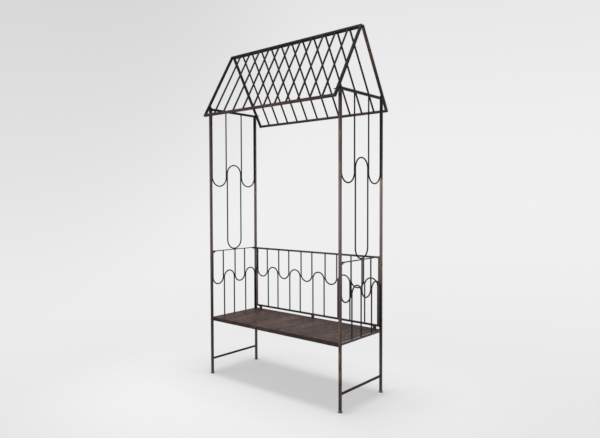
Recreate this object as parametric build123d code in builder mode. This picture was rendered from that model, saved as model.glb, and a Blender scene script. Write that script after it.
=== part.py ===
from build123d import *
import os
from math import cos, radians, sin, tan

# Metal trellis arbour with a built-in bench and a gable roof.
# Frame: origin on the floor under the middle of the bench, +X to the right as seen from
# the front, +Y towards the back, +Z up.  Millimetres.

os.makedirs("parts", exist_ok=True)

# ---- overall layout ---------------------------------------------------------------------
half_width = 602.0          # post centre lines, left to right
half_depth = 235.0          # post centre lines, front to back
stretcher_height = 113.5    # centre line of the low leg stretchers
seat_height = 432.0         # top of the front and rear seat rails
arm_height = 934.5          # top of the arm bars
post_split_height = 950.0   # where the upper posts stand on the lower posts
top_rail_height = 2000.5    # centre line of the upper side rails

# ---- stock sizes ------------------------------------------------------------------------
frame_tube = 15.9           # square tube of the posts, upper side rails and roof frames
tube = 12.7                 # square tube of the stretchers, seat side rails and back panel
tube_wall = 1.2
tube_corner = 1.2           # outside corner radius of the tubes
rod = 9.5                   # round bar of the trellis work
roof_rod = 12.7             # round tube of the roof's bars
touch = 0.05                # gap left between round bars that lie side by side

# ---- bench ------------------------------------------------------------------------------
seat_rail_depth = 24.0      # height of the front and rear seat rails
side_rail_drop = 1.5        # side seat rails sit this far below the seat's top
slat_count = 26
slat_pitch = 45.6
slat_width = 40.0
slat_thickness = 2.5
slat_drop = 1.0             # slats sit this far below the top of the seat rails
arm_width = 16.0
arm_thickness = 5.0
back_top_height = 925.8     # centre line of the back panel's top rail
back_bottom_height = 456.3  # centre line of the back panel's bottom rail
back_bays = 10
arm_bays = 4
side_bays = 3
back_loop_low = 700.0       # lowest point of the back panel's hanging loops, on centre line
back_arch_high = 779.0      # highest point of the back panel's arches, on centre line
arm_loop_low = 678.5
arm_arch_high = 771.5
side_loop_low = 1426.0
long_loop_high = 1591.0
tab_spread = 549.0          # outer tabs under the back panel, from the middle
tab_width = 26.0
tab_depth = 11.0
tab_thickness = 3.0
tab_screw_inset = 2.0       # tab screws, forward of the panel's centre line

# ---- roof -------------------------------------------------------------------------------
roof_slope = 60.0           # degrees from level
front_roof_length = 552.0   # ridge tube to eave tube, centre to centre, down the slope
rear_roof_length = 580.0    # the rear panel hangs lower than the front one
roof_bays = 12
rest_gap = 0.1              # rafters just clear the corners of the side frames

# ---- feet, joints and fasteners ---------------------------------------------------------
foot_height = 20.0
foot_radius = 15.0
foot_neck = 10.9
spigot = 13.3
spigot_wall = 1.5
spigot_bottom = 900.0
spigot_top = 1000.0
spigot_screw_height = 965.0
lug_length = 30.05
lug_thickness = 3.0
lug_bolt_inset = 25.3       # arm bolt, from the post's centre line
bolt = 6.0
bolt_hole = 6.4
bolt_head = 11.0
bolt_head_height = 2.2
nut_flats = 10.0
nut_height = 5.0
screw = 4.0
screw_hole = 4.4
screw_head = 8.0
screw_head_height = 2.2
seat_bolt_height = seat_height - seat_rail_depth / 2
frame_bolt_heights = (500.0, 880.0)
plate = 3.0                 # thickness of the roof's corner plates
plug_length = 20.0
short_roof_bolt = 25.0
long_roof_bolt = 55.0       # at the right front and left rear corners

# ---- derived sizes ----------------------------------------------------------------------
bore = tube - 2 * tube_wall
frame_bore = frame_tube - 2 * tube_wall
side_face = half_depth - frame_tube / 2  # inner faces of the posts, along Y
post_face = half_width - frame_tube / 2  # inner faces of the posts, along X
post_outside = half_width + frame_tube / 2
rail_face = half_depth - tube / 2        # inner faces of the seat's front and rear rails
arm_underside = arm_height - arm_thickness
lug_underside = arm_underside - lug_thickness
stile_line = post_face - tube / 2
stile_face = stile_line - tube / 2
side_rail_height = seat_height - side_rail_drop - tube / 2
rise = sin(radians(roof_slope))
run = cos(radians(roof_slope))
ridge_offset = (frame_tube / 2 - tube_corner) * (rise + run) + tube_corner + touch
post_top = top_rail_height + frame_tube / 2
ridge_height = (
    post_top
    + frame_tube / 2 / run
    + (half_depth + frame_tube / 2 - ridge_offset) * tan(radians(roof_slope))
    + rest_gap
)

sides = (("left", -1), ("right", 1))
ends = (("front", -1), ("rear", 1))
corners = [(sx, sy) for sx in (-1, 1) for sy in (-1, 1)]


def keep(piece, name):
    """Label one finished piece and write it to its own file."""
    piece.part.label = name
    export_step(piece.part, f"parts/{name}.step")


def square_tube(start, end, inward=None, mitre_start=False, mitre_end=False, size=tube):
    """Square tube along a centre line; a mitred end is cut at 45 degrees for a corner
    whose other tube runs off in the inward direction."""
    along = (end - start).normalized()
    sideways = inward if inward is not None else Vector(1, 0, 0)
    if abs(along.dot(sideways)) > 0.9:
        sideways = Vector(0, 1, 0)
    hollow = size - 2 * tube_wall
    first = start - along * size if mitre_start else start
    last = end + along * size if mitre_end else end
    with BuildPart() as piece:
        with BuildSketch(Plane(origin=first, x_dir=sideways, z_dir=along)):
            RectangleRounded(size, size, tube_corner)
            Rectangle(hollow, hollow, mode=Mode.SUBTRACT)
        extrude(amount=(last - first).length)
        if mitre_start:
            split(bisect_by=Plane(origin=start, z_dir=along - inward), keep=Keep.TOP)
        if mitre_end:
            split(bisect_by=Plane(origin=end, z_dir=-along - inward), keep=Keep.TOP)
    return piece


def drilled(piece, centre, direction, diameter, depth):
    """The same piece with a round hole that starts at centre and runs along direction."""
    with BuildPart() as result:
        add(piece.part)
        with BuildSketch(Plane(origin=centre, z_dir=direction)):
            Circle(diameter / 2)
        extrude(amount=depth, mode=Mode.SUBTRACT)
    return result


def hairpins(plane, spans):
    """Round bars bent into a U, one solid each.  Each span gives the two leg positions,
    the height where each leg ends and the height of the bend's far point."""
    with BuildPart() as group:
        for first, second, first_end, second_end, far in spans:
            radius = (second - first) / 2
            turn = far + radius if far < first_end else far - radius
            with BuildLine(plane) as path:
                Line((first, first_end), (first, turn))
                ThreePointArc((first, turn), ((first + second) / 2, far), (second, turn))
                Line((second, turn), (second, second_end))
            with BuildSketch(Plane(origin=path.line @ 0, z_dir=path.line % 0)) as section:
                Circle(rod / 2)
            sweep(sections=section.sketch, path=path.line)
    return group


def button_bolt(seat, direction, length, thickness=bolt, head=bolt_head,
                head_height=bolt_head_height):
    """Button-head bolt: the head stands on seat, the shank runs along direction."""
    with BuildPart() as piece:
        with BuildSketch(Plane(origin=seat, z_dir=direction)):
            Circle(thickness / 2)
        extrude(amount=length)
        with BuildSketch(Plane(origin=seat, z_dir=direction * -1)):
            Circle(head / 2)
        extrude(amount=head_height)
        rim = piece.edges().filter_by(GeomType.CIRCLE).sort_by(Axis(seat, direction))[0]
        fillet(rim, head_height * 0.6)
        tip = piece.edges().filter_by(GeomType.CIRCLE).sort_by(Axis(seat, direction))[-1]
        chamfer(tip, 0.6)
        with BuildSketch(Plane(origin=seat - direction * head_height, z_dir=direction)):
            RegularPolygon(head * 0.2, 6)
        extrude(amount=head_height * 0.55, mode=Mode.SUBTRACT)
    return piece


def group_of(pieces):
    """Separate solids kept together in one part."""
    with BuildPart() as group:
        for piece in pieces:
            add(piece.part)
    return group


# ---- lower posts: feet to just above the arm bars ---------------------------------------
for side, sx in sides:
    for end, sy in ends:
        lower_post = square_tube(
            Vector(sx * half_width, sy * half_depth, foot_height),
            Vector(sx * half_width, sy * half_depth, post_split_height),
            size=frame_tube,
        )
        bolt_heights = [seat_bolt_height]
        if end == "rear":
            bolt_heights += list(frame_bolt_heights)
        for height in bolt_heights:
            lower_post = drilled(
                lower_post,
                Vector(sx * (post_outside + 1), sy * half_depth, height),
                Vector(-sx, 0, 0),
                bolt_hole,
                frame_tube + 2,
            )
        keep(lower_post, f"{side}_{end}_lower_post")

# ---- upper posts and upper side rails: an upside-down U on each side --------------------
for side, sx in sides:
    for end, sy in ends:
        upper_post = square_tube(
            Vector(sx * half_width, sy * half_depth, post_split_height),
            Vector(sx * half_width, sy * half_depth, top_rail_height),
            inward=Vector(0, -sy, 0),
            mitre_end=True,
            size=frame_tube,
        )
        upper_post = drilled(
            upper_post,
            Vector(sx * (post_outside + 1), sy * half_depth, top_rail_height),
            Vector(-sx, 0, 0),
            bolt_hole,
            frame_tube + 2,
        )
        upper_post = drilled(
            upper_post,
            Vector(sx * (post_face - 1), sy * half_depth, spigot_screw_height),
            Vector(sx, 0, 0),
            screw_hole,
            frame_tube / 2,
        )
        keep(upper_post, f"{side}_{end}_upper_post")
    top_rail = square_tube(
        Vector(sx * half_width, -half_depth, top_rail_height),
        Vector(sx * half_width, half_depth, top_rail_height),
        inward=Vector(0, 0, -1),
        mitre_start=True,
        mitre_end=True,
        size=frame_tube,
    )
    for sy in (-1, 1):
        top_rail = drilled(
            top_rail,
            Vector(sx * (post_outside + 1), sy * half_depth, top_rail_height),
            Vector(-sx, 0, 0),
            bolt_hole,
            frame_tube + 2,
        )
    keep(top_rail, f"{side}_top_rail")

# ---- spigots inside the posts, and their screws -----------------------------------------
with BuildPart() as post_spigots:
    with BuildSketch(Plane.XY.offset(spigot_bottom)):
        with GridLocations(2 * half_width, 2 * half_depth, 2, 2):
            Rectangle(spigot, spigot)
            Rectangle(spigot - 2 * spigot_wall, spigot - 2 * spigot_wall, mode=Mode.SUBTRACT)
    extrude(amount=spigot_top - spigot_bottom)
    for sx, sy in corners:
        with BuildSketch(
            Plane(
                origin=(sx * (half_width - spigot / 2 - 1), sy * half_depth, spigot_screw_height),
                z_dir=(sx, 0, 0),
            )
        ):
            Circle(screw_hole / 2)
        extrude(amount=spigot / 2, mode=Mode.SUBTRACT)
keep(post_spigots, "post_spigots")

spigot_screws = group_of(
    button_bolt(
        Vector(sx * post_face, sy * half_depth, spigot_screw_height),
        Vector(sx, 0, 0),
        8.0,
        thickness=screw,
        head=screw_head,
        head_height=screw_head_height,
    )
    for sx, sy in corners
)
keep(spigot_screws, "spigot_screws")

# ---- feet: turned flares with a square plug up inside the post --------------------------
foot_pieces = []
for sx, sy in corners:
    middle = Vector(sx * half_width, sy * half_depth, 0)
    with BuildPart() as foot:
        with BuildSketch(Plane(origin=middle, x_dir=(1, 0, 0), z_dir=(0, -1, 0))):
            with BuildLine():
                Polyline((0, 0), (foot_radius - 0.8, 0), (foot_radius, 0.8), (foot_radius, 4.4))
                ThreePointArc(
                    (foot_radius, 4.4),
                    (foot_neck + 0.7, 10.2),
                    (foot_neck, foot_height),
                )
                Polyline((foot_neck, foot_height), (0, foot_height), (0, 0))
            make_face()
        revolve(axis=Axis(middle, Vector(0, 0, 1)))
        with BuildSketch(Plane(origin=middle + Vector(0, 0, foot_height))):
            Rectangle(frame_bore - 0.2, frame_bore - 0.2)
        extrude(amount=14)
    foot_pieces.append(foot)
keep(group_of(foot_pieces), "feet")

# ---- side frames: stretchers, seat side rails and arm bars ------------------------------
for side, sx in sides:
    stretcher = square_tube(
        Vector(sx * half_width, -side_face, stretcher_height),
        Vector(sx * half_width, side_face, stretcher_height),
    )
    keep(stretcher, f"{side}_leg_stretcher")
    seat_side_rail = square_tube(
        Vector(sx * half_width, -side_face, side_rail_height),
        Vector(sx * half_width, side_face, side_rail_height),
    )
    keep(seat_side_rail, f"{side}_seat_side_rail")
    with BuildPart() as arm_bar:
        with BuildSketch(Plane.XY.offset(arm_underside)):
            with Locations((sx * half_width, 0)):
                Rectangle(arm_width, 2 * side_face)
            with Locations(*[(sx * half_width, sy * (half_depth - lug_bolt_inset)) for sy in (-1, 1)]):
                Circle(bolt_hole / 2, mode=Mode.SUBTRACT)
        extrude(amount=arm_thickness)
        long_edges = arm_bar.edges().filter_by(Axis.Y).group_by(Axis.Z)[-1]
        fillet(long_edges, 1.2)
    keep(arm_bar, f"{side}_arm_bar")

# ---- arm lugs under the bars' ends, with bolts ------------------------------------------
with BuildPart() as arm_lugs:
    with BuildSketch(Plane.XY.offset(lug_underside)):
        with Locations(
            *[(sx * half_width, sy * (side_face - lug_length / 2)) for sx, sy in corners]
        ):
            Rectangle(arm_width, lug_length)
        with Locations(
            *[(sx * half_width, sy * (half_depth - lug_bolt_inset)) for sx, sy in corners]
        ):
            Circle(bolt_hole / 2, mode=Mode.SUBTRACT)
    extrude(amount=lug_thickness)
keep(arm_lugs, "arm_lugs")

arm_bolts = group_of(
    button_bolt(
        Vector(sx * half_width, sy * (half_depth - lug_bolt_inset), arm_height),
        Vector(0, 0, -1),
        arm_thickness + lug_thickness + nut_height + 4,
    )
    for sx, sy in corners
)
keep(arm_bolts, "arm_bolts")

# ---- trellis work of the sides ----------------------------------------------------------
arm_bay = 2 * side_face / arm_bays
side_bay = 2 * side_face / side_bays
beside = rod / 2 + touch
for side, sx in sides:
    side_plane = Plane(origin=(sx * half_width, 0, 0), x_dir=(0, 1, 0), z_dir=(1, 0, 0))
    drops = []
    arches = []
    for bay in range(arm_bays):
        near = -side_face + bay * arm_bay + beside
        far = -side_face + (bay + 1) * arm_bay - beside
        if bay % 2 == 0:
            first_end = lug_underside if bay == 0 else arm_underside
            drops.append((near, far, first_end, arm_underside, arm_loop_low))
        else:
            foot_level = side_rail_height + tube / 2
            arches.append((near, far, foot_level, foot_level, arm_arch_high))
    keep(hairpins(side_plane, drops), f"{side}_arm_drop_loops")
    keep(hairpins(side_plane, arches), f"{side}_arm_arches")

    hang = top_rail_height - frame_tube / 2
    upper = []
    for bay in (0, side_bays - 1):
        near = -side_face + bay * side_bay + beside
        far = -side_face + (bay + 1) * side_bay - beside
        upper.append((near, far, hang, hang, side_loop_low))
    keep(hairpins(side_plane, upper), f"{side}_side_drop_loops")

    reach = side_bay / 2 - beside
    low_turn = arm_height + beside + reach
    high_turn = long_loop_high - reach
    with BuildPart() as long_loop:
        with BuildLine(side_plane) as path:
            Line((-reach, low_turn), (-reach, high_turn))
            ThreePointArc((-reach, high_turn), (0, long_loop_high), (reach, high_turn))
            Line((reach, high_turn), (reach, low_turn))
            ThreePointArc((reach, low_turn), (0, low_turn - reach), (-reach, low_turn))
        with BuildSketch(Plane(origin=path.line @ 0, z_dir=path.line % 0)) as section:
            Circle(rod / 2)
        sweep(sections=section.sketch, path=path.line)
    keep(long_loop, f"{side}_side_long_loop")

# ---- back panel -------------------------------------------------------------------------
for side, sx in sides:
    stile = square_tube(
        Vector(sx * stile_line, half_depth, back_bottom_height),
        Vector(sx * stile_line, half_depth, back_top_height),
        inward=Vector(-sx, 0, 0),
        mitre_start=True,
        mitre_end=True,
    )
    for height in frame_bolt_heights:
        stile = drilled(
            stile,
            Vector(sx * (stile_line + tube / 2 + 1), half_depth, height),
            Vector(-sx, 0, 0),
            bolt_hole,
            tube / 2,
        )
    keep(stile, f"{side}_back_stile")

back_top_rail = square_tube(
    Vector(-stile_line, half_depth, back_top_height),
    Vector(stile_line, half_depth, back_top_height),
    inward=Vector(0, 0, -1),
    mitre_start=True,
    mitre_end=True,
)
keep(back_top_rail, "back_top_rail")

back_bottom_rail = square_tube(
    Vector(-stile_line, half_depth, back_bottom_height),
    Vector(stile_line, half_depth, back_bottom_height),
    inward=Vector(0, 0, 1),
    mitre_start=True,
    mitre_end=True,
)
keep(back_bottom_rail, "back_bottom_rail")

back_plane = Plane(origin=(0, half_depth, 0), x_dir=(1, 0, 0), z_dir=(0, -1, 0))
back_bay = 2 * stile_face / back_bays
back_drops = []
back_rises = []
for bay in range(back_bays):
    near = -stile_face + bay * back_bay + beside
    far = -stile_face + (bay + 1) * back_bay - beside
    if bay % 2 == 0:
        level = back_top_height - tube / 2
        back_drops.append((near, far, level, level, back_loop_low))
    else:
        level = back_bottom_height + tube / 2
        back_rises.append((near, far, level, level, back_arch_high))
keep(hairpins(back_plane, back_drops), "back_drop_loops")
keep(hairpins(back_plane, back_rises), "back_arches")

# small channel-shaped tabs that hold the back panel off the seat, open to the front
tab_places = (-tab_spread, 0.0, tab_spread)
tab_top = back_bottom_height - tube / 2
with BuildPart() as back_tabs:
    with BuildSketch(Plane.XY.offset(seat_height)):
        with Locations(*[(x, half_depth) for x in tab_places]):
            Rectangle(tab_width, tab_depth)
    extrude(amount=tab_top - seat_height)
    with BuildSketch(Plane.XY.offset(seat_height + tab_thickness)):
        with Locations(*[(x, half_depth - tab_thickness) for x in tab_places]):
            Rectangle(tab_width + 2, tab_depth)
    extrude(amount=tab_top - seat_height - 2 * tab_thickness, mode=Mode.SUBTRACT)
    with BuildSketch(Plane.XY.offset(seat_height - 1)):
        with Locations(*[(x, half_depth - tab_screw_inset) for x in tab_places]):
            Circle(screw_hole / 2)
    extrude(amount=tab_thickness + 2, mode=Mode.SUBTRACT)
keep(back_tabs, "back_tabs")

back_tab_screws = group_of(
    button_bolt(
        Vector(x, half_depth - tab_screw_inset, seat_height + tab_thickness),
        Vector(0, 0, -1),
        11.0,
        thickness=screw,
        head=screw_head,
        head_height=screw_head_height,
    )
    for x in tab_places
)
keep(back_tab_screws, "back_tab_screws")

back_frame_bolts = group_of(
    button_bolt(
        Vector(sx * post_outside, half_depth, height),
        Vector(-sx, 0, 0),
        frame_tube + 6,
    )
    for sx in (-1, 1)
    for height in frame_bolt_heights
)
keep(back_frame_bolts, "back_frame_bolts")

# ---- seat -------------------------------------------------------------------------------
for end, sy in ends:
    with BuildPart() as seat_rail:
        middle_height = seat_height - seat_rail_depth / 2
        with BuildSketch(Plane.YZ.offset(-post_face)):
            with Locations((sy * half_depth, middle_height)):
                RectangleRounded(tube, seat_rail_depth, tube_corner)
                Rectangle(bore, seat_rail_depth - 2 * tube_wall, mode=Mode.SUBTRACT)
        extrude(amount=2 * post_face)
        if end == "rear":
            with BuildSketch(Plane.XY.offset(seat_height + 1)):
                with Locations(*[(x, half_depth - tab_screw_inset) for x in tab_places]):
                    Circle(screw_hole / 2)
            extrude(amount=-(tube_wall + 2), mode=Mode.SUBTRACT)
    keep(seat_rail, f"seat_{end}_rail")

with BuildPart() as seat_slats:
    with BuildSketch(Plane.XY.offset(seat_height - slat_drop - slat_thickness)):
        with GridLocations(slat_pitch, 0, slat_count, 1):
            Rectangle(slat_width, 2 * rail_face)
    extrude(amount=slat_thickness)
    slat_edges = seat_slats.edges().filter_by(Axis.Y).group_by(Axis.Z)[-1]
    fillet(slat_edges, 0.8)
keep(seat_slats, "seat_slats")

with BuildPart() as seat_rail_plugs:
    for sx, sy in corners:
        first = post_face if sx > 0 else -post_face + plug_length
        with BuildSketch(Plane.YZ.offset(first)):
            with Locations((sy * half_depth, seat_bolt_height)):
                Rectangle(bore - 0.2, seat_rail_depth - 2 * tube_wall - 0.2)
                Circle(bolt_hole / 2, mode=Mode.SUBTRACT)
        extrude(amount=-plug_length)
keep(seat_rail_plugs, "seat_rail_plugs")

seat_bolts = group_of(
    button_bolt(
        Vector(sx * post_outside, sy * half_depth, seat_bolt_height),
        Vector(-sx, 0, 0),
        frame_tube + plug_length - 2,
    )
    for sx, sy in corners
)
keep(seat_bolts, "seat_bolts")

# ---- roof: two mitred panels that meet along the ridge ----------------------------------
for (end, sy), roof_length in zip(ends, (front_roof_length, rear_roof_length)):
    down = Vector(0, sy * run, -rise)
    ridge_corner = Vector(0, sy * ridge_offset, ridge_height)
    eave_corner = ridge_corner + down * roof_length
    across = Vector(half_width, 0, 0)
    ridge_tube = square_tube(
        ridge_corner - across,
        ridge_corner + across,
        down,
        mitre_start=True,
        mitre_end=True,
        size=frame_tube,
    )
    keep(ridge_tube, f"{end}_ridge_tube")
    eave_tube = square_tube(
        eave_corner - across,
        eave_corner + across,
        -down,
        mitre_start=True,
        mitre_end=True,
        size=frame_tube,
    )
    keep(eave_tube, f"{end}_eave_tube")
    for side, sx in sides:
        rafter = square_tube(
            ridge_corner + across * sx,
            eave_corner + across * sx,
            Vector(-sx, 0, 0),
            mitre_start=True,
            mitre_end=True,
            size=frame_tube,
        )
        keep(rafter, f"{side}_{end}_rafter")
    with BuildPart() as roof_rods:
        with BuildSketch(
            Plane(origin=ridge_corner + down * (frame_tube / 2), x_dir=(1, 0, 0), z_dir=down)
        ):
            with GridLocations(2 * half_width / roof_bays, 0, roof_bays - 1, 1):
                Circle(roof_rod / 2)
                Circle(roof_rod / 2 - tube_wall, mode=Mode.SUBTRACT)
        extrude(amount=roof_length - frame_tube)
    keep(roof_rods, f"{end}_roof_rods")

# ---- corner plates and bolts of the roof ------------------------------------------------
# each plate is welded to a rafter's inner face and bolted to the post's top corner
with BuildPart() as roof_corner_plates:
    for sx, sy in corners:
        start = post_face if sx > 0 else -post_face + plate
        with BuildSketch(Plane.YZ.offset(start)):
            Polygon(
                (sy * (half_depth - 7.2), post_top - 16.2),
                (sy * (half_depth - 7.2), post_top + 1.5),
                (sy * (half_depth + 2.5), post_top + 13.5),
                (sy * (half_depth + 14.5), post_top + 4.5),
                (sy * (half_depth + 14.5), post_top - 11.0),
                (sy * (half_depth + 7.0), post_top - 16.2),
                align=None,
            )
            with Locations((sy * half_depth, top_rail_height)):
                Circle(bolt_hole / 2, mode=Mode.SUBTRACT)
        extrude(amount=-plate)
keep(roof_corner_plates, "roof_corner_plates")

roof_corner_bolts = group_of(
    button_bolt(
        Vector(sx * post_outside, sy * half_depth, top_rail_height),
        Vector(-sx, 0, 0),
        long_roof_bolt if sx * sy < 0 else short_roof_bolt,
    )
    for sx, sy in corners
)
keep(roof_corner_bolts, "roof_corner_bolts")

# ---- nuts: under the arm lugs, and behind the roof's plates -----------------------------
nut_places = []
for sx, sy in corners:
    under_lug = Vector(sx * half_width, sy * (half_depth - lug_bolt_inset), lug_underside)
    nut_places.append((under_lug, Vector(0, 0, -1)))
    behind_plate = Vector(sx * (post_face - plate), sy * half_depth, top_rail_height)
    nut_places.append((behind_plate, Vector(-sx, 0, 0)))
with BuildPart() as m6_nuts:
    for seat, direction in nut_places:
        with BuildSketch(Plane(origin=seat, z_dir=direction)):
            RegularPolygon(nut_flats / 2, 6, major_radius=False)
            Circle(bolt / 2 + 0.1, mode=Mode.SUBTRACT)
        extrude(amount=nut_height)
keep(m6_nuts, "m6_nuts")
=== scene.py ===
import math
import random

import bmesh
import bpy
from mathutils import Matrix, Vector


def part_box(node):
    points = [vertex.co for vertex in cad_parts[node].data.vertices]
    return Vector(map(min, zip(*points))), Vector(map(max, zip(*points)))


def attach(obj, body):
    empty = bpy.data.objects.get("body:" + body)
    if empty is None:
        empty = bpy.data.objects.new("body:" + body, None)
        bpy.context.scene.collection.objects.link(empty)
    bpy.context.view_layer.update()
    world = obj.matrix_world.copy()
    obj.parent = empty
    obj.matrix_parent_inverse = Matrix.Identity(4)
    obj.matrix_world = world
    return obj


# The garden arbour bench as a visual model: paint on every CAD node, weld beads where bars and
# tubes meet, and the floor, lights, backdrop and camera of the photo.

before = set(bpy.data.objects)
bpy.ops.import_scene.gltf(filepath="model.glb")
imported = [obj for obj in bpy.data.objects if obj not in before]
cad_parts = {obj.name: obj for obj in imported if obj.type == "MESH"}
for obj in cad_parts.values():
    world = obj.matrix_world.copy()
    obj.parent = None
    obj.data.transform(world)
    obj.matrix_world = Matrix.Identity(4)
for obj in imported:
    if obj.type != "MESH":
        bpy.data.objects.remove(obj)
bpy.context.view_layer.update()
random.seed(7)

MM = 0.001
X = Vector((1, 0, 0))
Y = Vector((0, 1, 0))
Z = Vector((0, 0, 1))
SIDES = (("left", -1), ("right", 1))
ENDS = (("front", -1), ("rear", 1))
BOTH = (-1, 1)


# ------------------------------------------------------------------ node trees
# sockets of the Mix node when it mixes colours
MIX_FACTOR = 0
MIX_FIRST = 6
MIX_SECOND = 7
MIX_RESULT = 2


class Nodes:
    """Short names for building a node tree."""

    def __init__(self, tree):
        self.tree = tree
        self.tree.nodes.clear()

    def add(self, kind, links=None, **values):
        """A new node; links gives each socket a source to link from or a plain value."""
        node = self.tree.nodes.new(kind)
        for key, value in values.items():
            setattr(node, key, value)
        for socket, source in (links or {}).items():
            if hasattr(source, "links"):
                self.tree.links.new(source, node.inputs[socket])
            else:
                node.inputs[socket].default_value = source
        return node

    def noise(self, coord, scale, detail=4.0, roughness=0.55, distortion=0.0):
        return self.add(
            "ShaderNodeTexNoise",
            {"Vector": coord, "Scale": scale, "Detail": detail, "Roughness": roughness,
             "Distortion": distortion},
        ).outputs["Fac"]

    def stretch(self, value, low, high, to_high=1.0):
        """A smooth step from 0 at low to to_high at high."""
        return self.add(
            "ShaderNodeMapRange",
            {"Value": value, "From Min": low, "From Max": high, "To Min": 0.0,
             "To Max": to_high},
            interpolation_type="SMOOTHSTEP",
        ).outputs["Result"]

    def math(self, operation, first, second=0.0, clamp=False):
        node = self.add("ShaderNodeMath", {0: first, 1: second}, operation=operation)
        node.use_clamp = clamp
        return node.outputs[0]

    def mix(self, factor, first, second):
        sockets = {MIX_FACTOR: factor, MIX_FIRST: first, MIX_SECOND: second}
        return self.add("ShaderNodeMix", sockets, data_type="RGBA").outputs[MIX_RESULT]

    def coords(self):
        return self.add("ShaderNodeTexCoord").outputs["Object"]


def new_material(name):
    """An empty material and the Nodes that fill it."""
    material = bpy.data.materials.new(name)
    material.use_nodes = True
    return material, Nodes(material.node_tree)


def rgb(red, green, blue):
    """A colour given as 0 to 255 display values, turned linear by the sRGB curve."""
    def linear(value):
        value /= 255
        return value / 12.92 if value <= 0.04045 else ((value + 0.055) / 1.055) ** 2.4
    return (linear(red), linear(green), linear(blue), 1.0)


# ------------------------------------------------------------------ paints
# scale, detail, roughness (and distortion) of the noises in the paint, coarse to fine
CLOUD = (5.0, 5.0, 0.6)
MOTTLE = (80.0, 6.0, 0.65, 0.4)
GRIT = (900.0, 3.0, 0.6)
CLOUD_SHARE = 0.55                # of the colour's mottling; the mottle makes up the rest
TONE = (0.38, 0.62)               # noise levels between which dark turns to brown

# The edge mask paints wear; with the seat's light worn colour it also paints a highlight on
# the slats' edges and side faces.
EDGE_REACH = 1.6 * MM             # how far wear runs in from an edge
EDGE_BEND = (0.995, 0.86)         # cosines of the bend at which wear starts and is full
EDGE_BREAKS = (0.36, 0.6)         # mottle levels that break the worn edges up
STREAK_CLOUDS = (0.5, 0.68)       # cloud levels at which a streak starts and is full
STREAK_BREAKS = (0.45, 0.62)
FLECKS = (0.6, 0.72)              # grit levels at which a fleck starts and is full
FLECK_WEAR = 0.3
FULL_WEAR = 0.8                   # how much of the worn colour shows where wear is full

DUST = (150, 140, 128)
DUST_HEIGHTS = (0.03, 0.0)        # metres above the floor between which dust builds up
DUST_BREAKS = (0.3, 0.6)

GLOSS_SWING = 0.3                 # how far the mottle changes the roughness
GLOSS_OFFSET = 0.1
POLISH = 0.1                      # how much smoother bare metal is
PEEL_SHARE = 0.7                  # of the bump; the grit makes up the rest
PEEL_STRENGTH = 0.4
PEEL_DEPTH = 0.3 * MM
COAT = 0.1
COAT_ROUGHNESS = 0.3


def rubbed_bronze(name, dark, brown, worn, gloss=0.4, metal=0.75, along=(1.0, 1.0, 1.0),
                  rubbed=0.5, dust=0.0):
    """Dark lacquer with a bronze tone rubbed through it: mottled colour, streaks and edges
    worn to bare bronze, fine orange-peel bump and uneven gloss. Where the worn colour is
    light, as on the seat, the edge mask also paints a highlight on edges and side faces.
    gloss is a roughness, rubbed the strength of the streaks and along the stretch of the
    noise on each axis."""
    material, n = new_material(name)
    coord = n.add(
        "ShaderNodeMapping", {"Vector": n.coords(), "Scale": along}
    ).outputs["Vector"]
    cloud = n.noise(coord, *CLOUD)
    mottle = n.noise(coord, *MOTTLE)
    grit = n.noise(coord, *GRIT)
    coarse = n.math("MULTIPLY", cloud, CLOUD_SHARE)
    tone = n.math("ADD", coarse, n.math("MULTIPLY", mottle, 1 - CLOUD_SHARE))
    colour = n.mix(n.stretch(tone, *TONE), rgb(*dark), rgb(*brown))

    bevel = n.add("ShaderNodeBevel", {"Radius": EDGE_REACH}, samples=4)
    geometry = n.add("ShaderNodeNewGeometry")
    facing = n.add(
        "ShaderNodeVectorMath",
        {0: bevel.outputs["Normal"], 1: geometry.outputs["Normal"]},
        operation="DOT_PRODUCT",
    ).outputs["Value"]
    edge = n.stretch(facing, *EDGE_BEND)
    # edges worn to bare bronze; where the worn colour is light, as on the seat, also a painted
    # highlight
    edge_wear_and_highlight = n.math("MULTIPLY", edge, n.stretch(mottle, *EDGE_BREAKS), clamp=True)
    streak = n.math(
        "MULTIPLY", n.stretch(cloud, *STREAK_CLOUDS), n.stretch(mottle, *STREAK_BREAKS)
    )
    fleck = n.math("MULTIPLY", n.stretch(grit, *FLECKS), FLECK_WEAR)
    bare = n.math("MAXIMUM", edge_wear_and_highlight, n.math("MULTIPLY", streak, rubbed))
    bare = n.math("MAXIMUM", bare, fleck)
    colour = n.mix(n.math("MULTIPLY", bare, FULL_WEAR), colour, rgb(*worn))
    if dust:
        height = n.add("ShaderNodeSeparateXYZ", {0: n.coords()}).outputs["Z"]
        low = n.stretch(height, *DUST_HEIGHTS)
        low = n.math("MULTIPLY", low, n.stretch(mottle, *DUST_BREAKS))
        colour = n.mix(n.math("MULTIPLY", low, dust), colour, rgb(*DUST))

    rough = n.math("ADD", n.math("MULTIPLY", mottle, GLOSS_SWING), gloss - GLOSS_OFFSET)
    rough = n.math("SUBTRACT", rough, n.math("MULTIPLY", bare, POLISH), clamp=True)
    fine = n.math("MULTIPLY", grit, 1 - PEEL_SHARE)
    peel = n.math("ADD", n.math("MULTIPLY", mottle, PEEL_SHARE), fine)
    bump = n.add(
        "ShaderNodeBump", {"Height": peel, "Strength": PEEL_STRENGTH, "Distance": PEEL_DEPTH}
    )
    shader = n.add(
        "ShaderNodeBsdfPrincipled",
        {"Base Color": colour, "Roughness": rough, "Metallic": metal,
         "Normal": bump.outputs["Normal"], "Coat Weight": COAT,
         "Coat Roughness": COAT_ROUGHNESS},
    )
    n.add("ShaderNodeOutputMaterial", {"Surface": shader.outputs[0]})
    return material


UP_THE_POSTS = (1.0, 1.0, 0.3)
DOWN_THE_SLATS = (1.0, 0.2, 1.0)
ALONG_THE_RAILS = (0.3, 1.0, 1.0)

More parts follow.
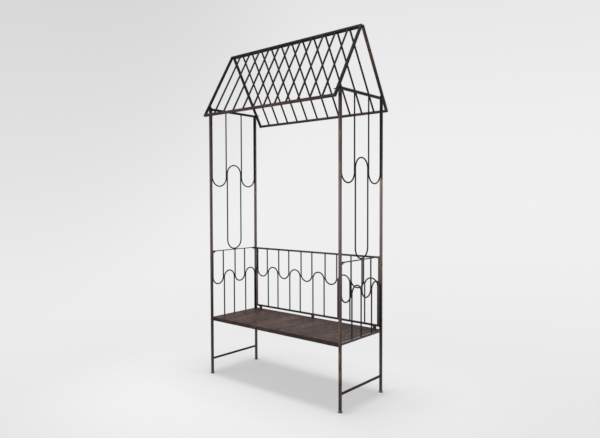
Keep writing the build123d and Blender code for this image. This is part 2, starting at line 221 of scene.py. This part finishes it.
frame_paint = rubbed_bronze(
    "frame_paint", (46, 37, 34), (66, 53, 48), (148, 120, 104), along=UP_THE_POSTS
)
rod_paint = rubbed_bronze(
    "rod_paint", (8, 6, 5), (22, 17, 15), (84, 66, 56),
    gloss=0.46, along=UP_THE_POSTS, rubbed=0.3,
)
roof_paint = rubbed_bronze(
    "roof_paint", (12, 9, 8), (30, 23, 20), (104, 78, 66), gloss=0.45, rubbed=0.35
)
# A lighter copy of the roof paint: painted light standing in for floor light bouncing onto and
# reflecting off the eaves and the right rear rafter.
eave_paint = rubbed_bronze(
    "eave_paint", (44, 33, 29), (66, 50, 44), (140, 104, 88), gloss=0.42
)
# The seat's worn colour is far lighter than the other paints' so that, besides wear, it paints
# a highlight on the slats' edges and side faces.
seat_paint_and_highlight = rubbed_bronze(
    "seat_paint_and_highlight", (64, 45, 40), (104, 79, 71), (228, 194, 180),
    gloss=0.44, along=DOWN_THE_SLATS, rubbed=0.15,
)
# A darker copy of the frame paint: painted shade on the faces of the seat's front and rear
# rails and the back tabs, standing in for the shade under the seat's edge.
shaded_rail_paint = rubbed_bronze(
    "shaded_rail_paint", (24, 16, 14), (40, 29, 25), (116, 90, 80),
    gloss=0.5, metal=0.85, along=ALONG_THE_RAILS, rubbed=0.25,
)
foot_paint = rubbed_bronze(
    "foot_paint", (22, 18, 16), (40, 33, 30), (104, 88, 76), dust=0.5
)
bolt_paint = rubbed_bronze(
    "bolt_paint", (10, 8, 7), (22, 18, 16), (96, 84, 76), gloss=0.45
)
weld_paint = rubbed_bronze(
    "weld_paint", (26, 20, 18), (50, 39, 34), (128, 102, 88), gloss=0.5
)

FASTENERS = ("bolts", "screws", "nuts")
SEAT_FRAME = ("seat_front_rail", "seat_rear_rail", "back_tabs")
ROOF_WORDS = ("roof", "ridge", "rafter", "top_rail")
THIN_BARS = ("loop", "loops", "arches", "stretcher", "arm_bar", "lugs", "back_bottom_rail")


def paint_for(name):
    if name == "feet":
        return foot_paint
    if name.endswith(FASTENERS):
        return bolt_paint
    if name == "seat_slats":
        return seat_paint_and_highlight
    if name in SEAT_FRAME:
        return shaded_rail_paint
    # the eaves and the right rear rafter get a lighter copy of the roof paint: painted light
    # from the floor's bounce and reflection on their lower faces
    if "eave" in name or name == "right_rear_rafter":
        return eave_paint
    if any(word in name for word in ROOF_WORDS):
        return roof_paint
    if name.endswith(THIN_BARS):
        return rod_paint
    return frame_paint


for name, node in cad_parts.items():
    node.data.materials.clear()
    node.data.materials.append(paint_for(name))


# ------------------------------------------------------------------ weld beads
LEAST_STEPS = 4

COLLAR_FLARE = 1.3 * MM           # how far a collar spreads on the face
COLLAR_HEIGHT = 2.2 * MM          # how far it climbs up the bar
COLLAR_POINTS = 18
# (reach, lift) of a collar's rings in flares and heights, from the face up onto the bar; a
# reach below 0 lies inside the bar
COLLAR_RINGS = ((1.0, -0.05), (0.72, 0.3), (0.3, 0.68), (-0.12, 1.0))
COLLAR_LOBES = (0.2, 0.1)         # strength of the three wide and the seven narrow lobes

FILLET_SIZE = 1.3 * MM
FILLET_STEP = 2.2 * MM
# (along the first face, along the second, heels into the corner) across a fillet
FILLET_PROFILE = ((1.0, 0.0, 1.0), (0.66, 0.5, 0.0), (0.3, 0.82, 0.0), (0.0, 1.0, 1.0))
FILLET_HEEL = 0.1 * MM
FILLET_FADE = 0.35                # its size at both ends
FILLET_RIPPLE = 0.16
FILLET_RIPPLE_TURN = 2.4          # radians of ripple from one step to the next
FILLET_UNEVEN = 0.08

STRIP_WIDTH = 2.6 * MM
STRIP_HEIGHT = 0.45 * MM
STRIP_STEP = 1.6 * MM
# (half widths, heights, sinks under the face) across a strip
STRIP_PROFILE = (
    (-1.0, 0.0, 1.0), (-0.55, 0.8, 0.0), (0.0, 1.0, 0.0), (0.55, 0.8, 0.0), (1.0, 0.0, 1.0)
)
STRIP_SINK = 0.08 * MM
STRIP_FADE = 0.3                  # its size at both ends
STRIP_UNEVEN = (0.8, 1.1)         # smallest and largest size in between

BLOB_ROWS = 7
BLOB_POINTS = 10
BLOB_TIP = 0.02                   # the tips' girth, so that their points don't fall together
BLOB_LOBES = 0.15


def steps_along(start, end, step):
    return max(LEAST_STEPS, round((end - start).length / step))


class Welds:
    """Beads of weld metal gathered into one mesh."""

    def __init__(self):
        self.points = []
        self.faces = []

    def skin(self, rings, closed):
        """Joins rings of points into a skin; closed rings run all the way round."""
        first = len(self.points)
        count = len(rings[0])
        for ring in rings:
            self.points.extend(ring)
        for row in range(len(rings) - 1):
            for i in range(count if closed else count - 1):
                j = (i + 1) % count
                a = first + row * count
                b = a + count
                self.faces.append((a + i, a + j, b + j, b + i))

    def collar(self, base, axis, radius):
        """A fillet round a bar that stands on a face."""
        side = axis.orthogonal().normalized()
        other = axis.cross(side)
        phase = random.uniform(0, math.tau)
        wide, narrow = COLLAR_LOBES
        rings = []
        for reach, lift in COLLAR_RINGS:
            ring = []
            for i in range(COLLAR_POINTS):
                angle = math.tau * i / COLLAR_POINTS
                swell = 1 + wide * math.sin(3 * angle + phase) + narrow * math.sin(7 * angle)
                out = radius + reach * COLLAR_FLARE * (swell if reach > 0 else 1)
                spoke = side * math.cos(angle) + other * math.sin(angle)
                ring.append(base + spoke * out + axis * (lift * COLLAR_HEIGHT * swell))
            rings.append(ring)
        self.skin(rings, True)

    def fillet(self, start, end, first, second, size=FILLET_SIZE):
        """A rippled bead along the inside corner of two faces that run off in the
        directions first and second."""
        steps = steps_along(start, end, FILLET_STEP)
        phase = random.uniform(0, math.tau)
        heel = (first + second) * FILLET_HEEL
        rings = []
        for i in range(steps + 1):
            place = start.lerp(end, i / steps)
            wave = FILLET_RIPPLE * math.sin(FILLET_RIPPLE_TURN * i + phase)
            swell = size * (1 + wave + random.uniform(-FILLET_UNEVEN, FILLET_UNEVEN))
            fade = FILLET_FADE if i in (0, steps) else 1.0
            a = first * swell * fade
            b = second * swell * fade
            rings.append([place + a * p + b * q - heel * r for p, q, r in FILLET_PROFILE])
        self.skin(rings, False)

    def strip(self, start, end, normal):
        """A low ground-down bead along a seam in a flat face."""
        across = (end - start).normalized().cross(normal)
        steps = steps_along(start, end, STRIP_STEP)
        sink = normal * STRIP_SINK
        rings = []
        for i in range(steps + 1):
            place = start.lerp(end, i / steps)
            fade = STRIP_FADE if i in (0, steps) else random.uniform(*STRIP_UNEVEN)
            half = across * (STRIP_WIDTH / 2 * fade)
            lift = normal * (STRIP_HEIGHT * fade)
            rings.append([place + half * p + lift * q - sink * r for p, q, r in STRIP_PROFILE])
        self.skin(rings, False)

    def blob(self, centre, size):
        """A tack of weld in the valley between two bars; size is its three half lengths."""
        phase = random.uniform(0, math.tau)
        rings = []
        for row in range(BLOB_ROWS):
            lean = math.pi * row / (BLOB_ROWS - 1)
            ring = []
            for i in range(BLOB_POINTS):
                angle = math.tau * i / BLOB_POINTS
                swell = 1 + BLOB_LOBES * math.sin(2 * angle + phase + row)
                girth = max(math.sin(lean), BLOB_TIP) * swell
                ring.append(centre + Vector((
                    size.x * math.cos(angle) * girth,
                    size.y * math.sin(angle) * girth,
                    size.z * math.cos(lean),
                )))
            rings.append(ring)
        self.skin(rings, True)

    def around(self, face, axis, u, v, half):
        """Beads on all four sides of a square tube that butts on a face."""
        for edge, run in ((u, v), (v, u)):
            for sign in BOTH:
                middle = face + edge * (sign * half)
                self.fillet(middle - run * half, middle + run * half, axis, edge * sign)

    def seam(self, inner, outer, normal, half):
        """Strips along a mitre on both broad faces of a tube of this half width."""
        for sign in BOTH:
            lift = normal * (sign * half)
            self.strip(inner + lift, outer + lift, normal * sign)

    def finish(self, name):
        mesh = bpy.data.meshes.new(name)
        mesh.from_pydata([tuple(p) for p in self.points], [], self.faces)
        shape = bmesh.new()
        shape.from_mesh(mesh)
        bmesh.ops.recalc_face_normals(shape, faces=shape.faces)
        shape.to_mesh(mesh)
        shape.free()
        for face in mesh.polygons:
            face.use_smooth = True
        mesh.materials.append(weld_paint)
        piece = bpy.data.objects.new(name, mesh)
        bpy.context.scene.collection.objects.link(piece)
        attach(piece, "root")


# ------------------------------------------------------------------ where the welds are
def low_of(name):
    return Vector(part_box(name)[0])


def high_of(name):
    return Vector(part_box(name)[1])


def middle_of(name):
    return (low_of(name) + high_of(name)) / 2


def half_width(name):
    return (high_of(name) - low_of(name)).x / 2


post_line = middle_of("right_rear_lower_post")
side_face = low_of("right_rear_lower_post").y        # inner faces of the posts
stile_face = low_of("right_back_stile").x            # inner faces of the back panel's stiles
post_half = post_line.y - side_face
rod_radius = half_width("right_side_long_loop")
tube_half = half_width("left_leg_stretcher")

ARM_BAYS = 4
SIDE_BAYS = 3
BACK_BAYS = 10

tack_out = 0.72 * rod_radius                         # tacks' offset from the panel's plane
post_tack_line = side_face - 0.25 * rod_radius       # tacks between a post and a loop's leg
POST_TACK_HEIGHTS = (1.47, 1.72, 1.95)
SIDE_TACK = Vector((1.5, 2.0, 7.0)) * MM
POST_TACK = Vector((1.5, 1.6, 8.0)) * MM
BACK_TACK = Vector((2.0, 1.5, 7.0)) * MM

LOOP_FOOT = Vector((2.8, 3.4, 1.3)) * MM             # beads where the long loop meets the bar
LOOP_FOOT_APART = 5.5 * MM
LOOP_FOOT_LIFT = 1.0 * MM

POST_EASE = 2.5 * MM                                 # seams stop this short of the corner
BACK_EASE = 1.5 * MM

ROOF_BARS = 11
ROOF_BAR_RADIUS = 6.35 * MM

SLAT_COUNT = 26
SLAT_WIDTH = 40 * MM
SLAT_WELD_HALF = 15 * MM
SLAT_WELD_TOP = 0.8 * MM
SLAT_WELD_UNDER = 1.8 * MM


def legs(face, bays, chosen):
    """Places of the two legs of the loops that stand in the chosen bays."""
    bay = 2 * face / bays
    for i in chosen:
        for place in (i * bay + rod_radius, (i + 1) * bay - rod_radius):
            yield place - face


def meeting(upper, lower):
    """The height half way along the stretch where loops and arches run side by side."""
    return (low_of(upper).z + high_of(lower).z) / 2


def side_frame_welds(welds, side, sx):
    x = sx * post_line.x
    arm_bar = f"{side}_arm_bar"
    top_rail = f"{side}_top_rail"
    arm_low = low_of(arm_bar).z
    rail_top = high_of(f"{side}_seat_side_rail").z
    hang = low_of(top_rail).z
    # the foremost leg hangs from the lug on the post, the others from the arm bar
    for number, y in enumerate(legs(side_face, ARM_BAYS, (0, 2))):
        level = arm_low if number else low_of("arm_lugs").z
        welds.collar(Vector((x, y, level)), -Z, rod_radius)
    for y in legs(side_face, ARM_BAYS, (1, 3)):
        welds.collar(Vector((x, y, rail_top)), Z, rod_radius)
    for y in legs(side_face, SIDE_BAYS, (0, 2)):
        welds.collar(Vector((x, y, hang)), -Z, rod_radius)

    arm_join = meeting(f"{side}_arm_drop_loops", f"{side}_arm_arches")
    loop_join = meeting(f"{side}_side_drop_loops", f"{side}_side_long_loop")
    joins = [(2 * i / ARM_BAYS - 1, arm_join) for i in range(1, ARM_BAYS)]
    joins += [(2 * i / SIDE_BAYS - 1, loop_join) for i in range(1, SIDE_BAYS)]
    for share, level in joins:
        for out in BOTH:
            welds.blob(Vector((x + out * tack_out, share * side_face, level)), SIDE_TACK)
    for level in POST_TACK_HEIGHTS:
        for end in BOTH:
            for out in BOTH:
                welds.blob(
                    Vector((x + out * tack_out, end * post_tack_line, level)), POST_TACK
                )
    foot_level = high_of(arm_bar).z + LOOP_FOOT_LIFT
    for end in BOTH:
        welds.blob(Vector((x, end * LOOP_FOOT_APART, foot_level)), LOOP_FOOT)

    for end in BOTH:
        face = Vector((x, end * side_face, 0))
        for node in (f"{side}_leg_stretcher", f"{side}_seat_side_rail"):
            level = Z * middle_of(node).z
            welds.around(face + level, Y * -end, X, Z, tube_half)
    rail = middle_of(top_rail).z
    reach = post_half - POST_EASE
    for end in BOTH:
        inner = Vector((x, end * (post_line.y - post_half), rail - post_half))
        outer = Vector((x, end * (post_line.y + reach), rail + reach))
        welds.seam(inner, outer, X, post_half)


def back_panel_welds(welds):
    back_y = post_line.y
    top_low = low_of("back_top_rail").z
    bottom_high = high_of("back_bottom_rail").z
    for x in legs(stile_face, BACK_BAYS, range(0, BACK_BAYS, 2)):
        welds.collar(Vector((x, back_y, top_low)), -Z, rod_radius)
    for x in legs(stile_face, BACK_BAYS, range(1, BACK_BAYS, 2)):
        welds.collar(Vector((x, back_y, bottom_high)), Z, rod_radius)
    back_join = meeting("back_drop_loops", "back_arches")
    for i in range(1, BACK_BAYS):
        x = (2 * i / BACK_BAYS - 1) * stile_face
        for out in BOTH:
            welds.blob(Vector((x, back_y + out * tack_out, back_join)), BACK_TACK)
    for sx in BOTH:
        for node, up in (("back_top_rail", 1), ("back_bottom_rail", -1)):
            level = middle_of(node).z
            inner = Vector((sx * stile_face, back_y, level - up * tube_half))
            outer = Vector((
                sx * (stile_face + 2 * tube_half - BACK_EASE),
                back_y,
                level + up * (tube_half - BACK_EASE),
            ))
            welds.seam(inner, outer, Y, tube_half)


def roof_panel_welds(welds, end, sy):
    ridge = middle_of(f"{end}_ridge_tube")
    eave = middle_of(f"{end}_eave_tube")
    down = (eave - ridge).normalized()
    outward = Vector((0, -down.z * sy, down.y * sy))
    first = low_of(f"{end}_roof_rods").x + ROOF_BAR_RADIUS
    last = high_of(f"{end}_roof_rods").x - ROOF_BAR_RADIUS
    for i in range(ROOF_BARS):
        x = first + (last - first) * i / (ROOF_BARS - 1)
        top = Vector((x, ridge.y, ridge.z)) + down * post_half
        bottom = Vector((x, eave.y, eave.z)) - down * post_half
        welds.collar(top, down, ROOF_BAR_RADIUS)
        welds.collar(bottom, -down, ROOF_BAR_RADIUS)
    for sx in BOTH:
        for place, way in ((ridge, 1), (eave, -1)):
            corner = Vector((sx * post_line.x, place.y, place.z))
            inward = down * way - X * sx
            inner = corner + inward * post_half
            outer = corner - inward * (post_half - POST_EASE)
            welds.seam(inner, outer, outward, post_half)


def slat_welds(welds):
    low = low_of("seat_slats")
    high = high_of("seat_slats")
    pitch = (high.x - low.x - SLAT_WIDTH) / (SLAT_COUNT - 1)
    for i in range(SLAT_COUNT):
        x = low.x + SLAT_WIDTH / 2 + i * pitch
        for end in BOTH:
            y = end * high.y
            for z, way, size in ((high.z, Z, SLAT_WELD_TOP), (low.z, -Z, SLAT_WELD_UNDER)):
                start = Vector((x - SLAT_WELD_HALF, y, z))
                stop = Vector((x + SLAT_WELD_HALF, y, z))
                welds.fillet(start, stop, Y * -end, way, size)


frame_welds = Welds()
for side, sx in SIDES:
    side_frame_welds(frame_welds, side, sx)
back_panel_welds(frame_welds)
frame_welds.finish("frame_welds")

roof_welds = Welds()
for end, sy in ENDS:
    roof_panel_welds(roof_welds, end, sy)
roof_welds.finish("roof_welds")

seat_welds = Welds()
slat_welds(seat_welds)
seat_welds.finish("seat_welds")


# ------------------------------------------------------------------ floor
FLOOR_RADIUS = 2.2
FLOOR_SEGMENTS = 96
FLOOR_FADE = (0.72, 2.0)          # metres from the middle between which the floor fades out
FLOOR_DARK = (162, 162, 162)
FLOOR_LIGHT = (166, 166, 166)
FLOOR_SPECKS = (60.0, 4.0)        # scale and detail of the noise between the two
FLOOR_ROUGHNESS = 0.9
FLOOR_SHINE = 0.1
FLOOR_GLOW = 0.365                # keeps the shadow as pale as in the photo
WHITE = (1.0, 1.0, 1.0, 1.0)


def make_floor():
    mesh = bpy.data.meshes.new("floor")
    shape = bmesh.new()
    bmesh.ops.create_circle(shape, cap_ends=True, segments=FLOOR_SEGMENTS, radius=FLOOR_RADIUS)
    shape.to_mesh(mesh)
    shape.free()
    floor = bpy.data.objects.new("floor", mesh)
    bpy.context.scene.collection.objects.link(floor)
    material, n = new_material("studio_floor")
    coord = n.coords()
    distance = n.add("ShaderNodeVectorMath", {0: coord}, operation="LENGTH").outputs["Value"]
    fade = n.stretch(distance, *FLOOR_FADE)
    speck = n.noise(coord, *FLOOR_SPECKS)
    colour = n.mix(speck, rgb(*FLOOR_DARK), rgb(*FLOOR_LIGHT))
    matt = n.add(
        "ShaderNodeBsdfPrincipled",
        {"Base Color": colour, "Roughness": FLOOR_ROUGHNESS,
         "Specular IOR Level": FLOOR_SHINE, "Emission Color": WHITE,
         "Emission Strength": FLOOR_GLOW},
    )
    clear = n.add("ShaderNodeBsdfTransparent")
    both = n.add(
        "ShaderNodeMixShader", {0: fade, 1: matt.outputs[0], 2: clear.outputs[0]}
    )
    n.add("ShaderNodeOutputMaterial", {"Surface": both.outputs[0]})
    mesh.materials.append(material)


make_floor()


# ------------------------------------------------------------------ lights and backdrop
# name, place, what it points at, width, height, watts
LIGHTS = (
    ("overhead", (0.0, 0.0, 8.0), (0.0, 0.0, 0.0), 1.7, 1.7, 460),
    ("front_left", (-2.3, -3.7, 1.25), (0.1, 0.0, 1.25), 1.9, 0.8, 120),
    ("right", (3.9, 0.9, 1.5), (0.0, 0.0, 1.3), 1.4, 1.6, 22),
    ("rear_right", (3.1, 4.1, 0.9), (0.3, 0.0, 0.9), 1.5, 1.3, 50),
)

BACKDROP_LIGHT = (240, 240, 240)
BACKDROP_DARK = (212, 212, 212)
STEEPNESS = (0.0, 0.62)           # from level to this steep the backdrop darkens ...
STEEP_SHARE = 0.6                 # ... by this share of the step to dark
DARK_CORNER = (-0.890, 0.341, 0.304)
CORNER_SPREAD = (0.86, 1.0)       # cosines of the angle to the dark corner
CORNER_SHARE = 0.55
ROOM_GREY = (0.4, 0.4, 0.41, 1.0)


def area_light(name, place, target, width, height, power):
    data = bpy.data.lights.new(name, "AREA")
    data.energy = power
    data.shape = "RECTANGLE"
    data.size = width
    data.size_y = height
    light = bpy.data.objects.new(name, data)
    aim = Vector(target) - Vector(place)
    light.location = place
    light.rotation_euler = aim.to_track_quat("-Z", "Y").to_euler()
    light.visible_camera = False
    bpy.context.scene.collection.objects.link(light)


def make_backdrop():
    """The camera sees a backdrop that is lightest round the horizon and falls off towards
    one upper corner; light and reflections come from an even grey room."""
    world = bpy.data.worlds.new("studio")
    bpy.context.scene.world = world
    world.use_nodes = True
    n = Nodes(world.node_tree)
    direction = n.add("ShaderNodeTexCoord").outputs["Generated"]
    toward_corner = n.add(
        "ShaderNodeVectorMath", {0: direction, 1: DARK_CORNER}, operation="DOT_PRODUCT"
    ).outputs["Value"]
    height = n.add("ShaderNodeSeparateXYZ", {0: direction}).outputs["Z"]
    steep = n.stretch(n.math("ABSOLUTE", height), *STEEPNESS, to_high=STEEP_SHARE)
    dim = n.stretch(toward_corner, *CORNER_SPREAD, to_high=CORNER_SHARE)
    sweep = n.mix(n.math("ADD", steep, dim), rgb(*BACKDROP_LIGHT), rgb(*BACKDROP_DARK))
    seen = n.add("ShaderNodeBackground", {"Color": sweep})
    room = n.add("ShaderNodeBackground", {"Color": ROOM_GREY})
    camera_ray = n.add("ShaderNodeLightPath").outputs["Is Camera Ray"]
    either = n.add(
        "ShaderNodeMixShader", {0: camera_ray, 1: room.outputs[0], 2: seen.outputs[0]}
    )
    n.add("ShaderNodeOutputWorld", {"Surface": either.outputs[0]})


for light in LIGHTS:
    area_light(*light)
make_backdrop()
scene = bpy.context.scene
scene.view_settings.view_transform = "Standard"
scene.view_settings.look = "None"


# ------------------------------------------------------------------ camera
CAMERA_PLACE = (2.569, -2.922, 1.319)
YAW = 0.7057                      # radians, anticlockwise from +Y
PITCH = 0.0351                    # radians down
ROLL = -0.0029
FOCAL = 542.5                     # in pixels of a picture 600 pixels wide
PICTURE_WIDTH = 600
SENSOR_WIDTH = 36.0

camera_data = bpy.data.cameras.new("camera")
camera_data.sensor_width = SENSOR_WIDTH
camera_data.lens = SENSOR_WIDTH * FOCAL / PICTURE_WIDTH
camera = bpy.data.objects.new("camera", camera_data)
scene.collection.objects.link(camera)
scene.camera = camera
forward = Vector((
    -math.sin(YAW) * math.cos(PITCH),
    math.cos(YAW) * math.cos(PITCH),
    -math.sin(PITCH),
))
level_right = Vector((math.cos(YAW), math.sin(YAW), 0))
level_up = level_right.cross(forward)
right = level_right * math.cos(ROLL) + level_up * math.sin(ROLL)
up = level_up * math.cos(ROLL) - level_right * math.sin(ROLL)
turn = Matrix((right, up, -forward)).transposed().to_4x4()
camera.matrix_world = Matrix.Translation(CAMERA_PLACE) @ turn
